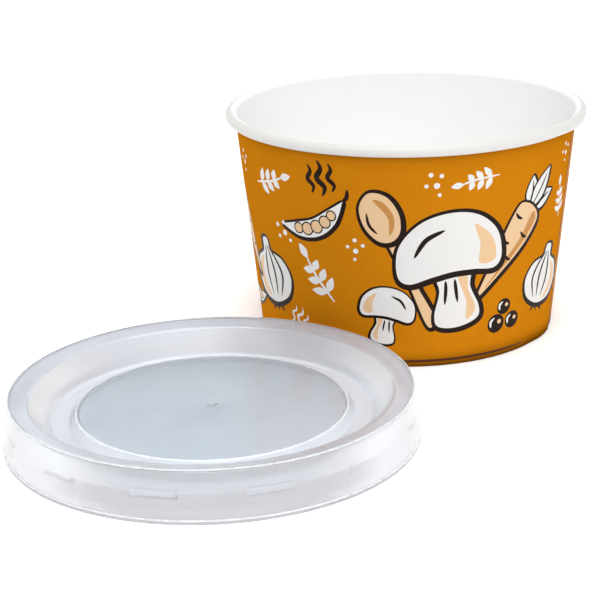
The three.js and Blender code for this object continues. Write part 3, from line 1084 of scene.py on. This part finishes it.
def build_lid(lid, inks):
    profile, depth = lid_profile(lid)
    top = LID_HIGH.z
    # Painted highlight: faces near these corners of the lip, the ring and the plateau get the white edge
    # material
    highlighted_corners = [
        ((LID_HIGH.x - LID_LOW.x) / 2, lid.lip_height),
        (lid.ring_outer + 0.3 * MM, top),
        (lid.plateau, lid.plateau_height),
    ]

    def reach(columns):
        window = np.zeros(len(columns))
        half_lug = math.degrees(lid.lug_span) / 2
        for k in range(lid.lugs):
            middle = math.degrees(lid.first_lug) + k * 360 / lid.lugs
            away = np.abs((columns - middle + 180) % 360 - 180)
            window = np.maximum(window, smoothstep((half_lug - away) / LUG_END))
        return -window[:, None] * depth[None, :]

    def ink_of(place, angle):
        middle = np.add(profile[place], profile[place + 1]) / 2
        return EDGE_HIGHLIGHT if any(math.dist(middle, corner) < EDGE_REACH for corner in highlighted_corners) else CLEAR

    mould = Mould()
    columns = np.linspace(0, 360, LID_COLUMNS + 1)
    mould.turn(profile, columns, LID_CENTRE, ink_of, reach)
    clear = polypropylene_material("polypropylene_clear", inks)
    return mould.piece("lid_shell", [clear, edge_highlight_material("polypropylene_edge_highlight", inks.lid_edge_highlight)])


# Studio

FRAME_PX = 600
SENSOR_MM = 36.0
TABLE_REACH = 6.0

# Each soft box's place, what it looks at and its size, in metres
BOXES = {
    "top_box": ((0.1, -0.1, 1.2), (0, 0, 0), (1.0, 1.0)),
    "front_right_box": ((0.12, -1.2, 0.8), (0, 0, 0.04), (0.7, 0.7)),
    "left_box": ((-1.2, -0.1, 0.5), (0, 0, 0.04), (0.6, 0.8)),
}


def build_camera(studio):
    """The camera at the photograph's place, worked out from the cup's axis."""
    camera = bpy.data.cameras.new("camera")
    camera.sensor_width = SENSOR_MM
    camera.lens = studio.focal_px * SENSOR_MM / FRAME_PX
    camera.clip_start = 0.01
    camera.clip_end = 50.0
    made = bpy.data.objects.new("camera", camera)
    yaw, pitch, roll = studio.yaw, studio.pitch, studio.roll
    ahead = Vector((math.sin(yaw) * math.cos(pitch), math.cos(yaw) * math.cos(pitch), -math.sin(pitch)))
    right = Vector((math.cos(yaw), -math.sin(yaw), 0))
    up = right.cross(ahead)
    rolled_right = math.cos(roll) * right + math.sin(roll) * up
    rolled_up = -math.sin(roll) * right + math.cos(roll) * up
    turn = Matrix((rolled_right, rolled_up, -ahead)).transposed().to_4x4()
    place = (CUP_CENTRE.x, CUP_CENTRE.y - studio.distance, studio.height)
    made.matrix_world = Matrix.Translation(place) @ turn
    bpy.context.scene.collection.objects.link(made)
    bpy.context.scene.camera = made


def softbox(name, power):
    place, target, size = BOXES[name]
    light = bpy.data.lights.new(name, "AREA")
    light.shape = "RECTANGLE"
    light.size, light.size_y = size
    light.energy = power
    made = bpy.data.objects.new(name, light)
    made.location = place
    made.rotation_euler = (Vector(target) - Vector(place)).to_track_quat("-Z", "Y").to_euler()
    bpy.context.scene.collection.objects.link(made)


def build_floor(studio):
    mesh = bpy.data.meshes.new("table_top")
    corners = [(x * TABLE_REACH, y * TABLE_REACH, 0) for x, y in ((-1, -1), (1, -1), (1, 1), (-1, 1))]
    mesh.from_pydata(corners, [], [(0, 1, 2, 3)])
    mesh.materials.append(table_material("white_light_table", studio.floor, studio.glow))
    made = bpy.data.objects.new("table_top", mesh)
    bpy.context.scene.collection.objects.link(made)


def build_surround(studio):
    world = bpy.data.worlds.new("surround")
    world.use_nodes = True
    tree = world.node_tree
    way = node(tree, "ShaderNodeSeparateXYZ", {0: node(tree, "ShaderNodeTexCoord").outputs["Generated"]})
    height = node(tree, "ShaderNodeMapRange", {
        "Value": way.outputs["Z"], "From Min": 0.1, "From Max": 0.5,
        "To Min": studio.horizon, "To Max": studio.sky})
    room = node(tree, "ShaderNodeMapRange", {
        "Value": way.outputs["Y"], "From Min": -0.9, "From Max": -0.3, "To Min": studio.room, "To Max": 1.0})
    strength = node(tree, "ShaderNodeMath", {
        0: height.outputs["Result"], 1: room.outputs["Result"]}, operation="MULTIPLY")
    backdrop = tree.nodes["Background"]
    backdrop.inputs["Color"].default_value = (1.0, 1.0, 1.0, 1.0)
    tree.links.new(strength.outputs["Value"], backdrop.inputs["Strength"])
    bpy.context.scene.world = world
    bpy.context.scene.view_settings.view_transform = "Standard"


# The add-on

class SOUPCUP_OT_studio(bpy.types.Operator):
    """Sets the camera, the lights and the table"""
    bl_idname = "soupcup.studio"
    bl_label = "Studio"

    def execute(self, context):
        studio = context.scene.soupcup_studio
        build_camera(studio)
        build_surround(studio)
        build_floor(studio)
        softbox("top_box", studio.top)
        softbox("front_right_box", studio.front)
        softbox("left_box", studio.side)
        return {"FINISHED"}


class SOUPCUP_OT_sidewall(bpy.types.Operator):
    """Makes the printed sidewall with its rolled rim, lapped seam and folded foot"""
    bl_idname = "soupcup.sidewall"
    bl_label = "Sidewall"

    def execute(self, context):
        wall = build_sidewall(context.scene.soupcup_cup, context.scene.soupcup_inks)
        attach(wall, "root")
        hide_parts("cup_sidewall")
        return {"FINISHED"}


class SOUPCUP_OT_bottom(bpy.types.Operator):
    """Makes the raised bottom disc"""
    bl_idname = "soupcup.bottom"
    bl_label = "Bottom disc"

    def execute(self, context):
        disc = build_bottom(context.scene.soupcup_cup, context.scene.soupcup_inks)
        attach(disc, "root")
        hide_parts("cup_bottom")
        return {"FINISHED"}


class SOUPCUP_OT_lid(bpy.types.Operator):
    """Makes the moulded lid with its ring, channel, skirt and snap lugs"""
    bl_idname = "soupcup.lid"
    bl_label = "Lid"

    def execute(self, context):
        shell = build_lid(context.scene.soupcup_lid, context.scene.soupcup_inks)
        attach(shell, "root")
        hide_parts("lid")
        return {"FINISHED"}


class SOUPCUP_PT_panel(bpy.types.Panel):
    """Lists the sizes, the colours and the pieces"""
    bl_label = "Soup cup"
    bl_idname = "SOUPCUP_PT_panel"
    bl_space_type = "VIEW_3D"
    bl_region_type = "UI"
    bl_category = "Soup cup"

    def draw(self, context):
        for group in (context.scene.soupcup_cup, context.scene.soupcup_lid,
                      context.scene.soupcup_inks, context.scene.soupcup_studio):
            box = self.layout.box()
            for name in group.__annotations__:
                box.prop(group, name)
        for operator in OPERATORS:
            self.layout.operator(operator.bl_idname)


GROUPS = {
    "soupcup_cup": CupSizes,
    "soupcup_lid": LidSizes,
    "soupcup_inks": Inks,
    "soupcup_studio": StudioSettings,
}
OPERATORS = (SOUPCUP_OT_studio, SOUPCUP_OT_sidewall, SOUPCUP_OT_bottom, SOUPCUP_OT_lid)


def register():
    for group in (*GROUPS.values(), *OPERATORS, SOUPCUP_PT_panel):
        bpy.utils.register_class(group)
    for name, group in GROUPS.items():
        setattr(bpy.types.Scene, name, bpy.props.PointerProperty(type=group))


def unregister():
    for name in GROUPS:
        delattr(bpy.types.Scene, name)
    for group in (SOUPCUP_PT_panel, *reversed(OPERATORS), *reversed(GROUPS.values())):
        bpy.utils.unregister_class(group)


def main():
    register()
    bpy.ops.soupcup.studio()
    bpy.ops.soupcup.sidewall()
    bpy.ops.soupcup.bottom()
    bpy.ops.soupcup.lid()


if __name__ == "__main__":
    main()
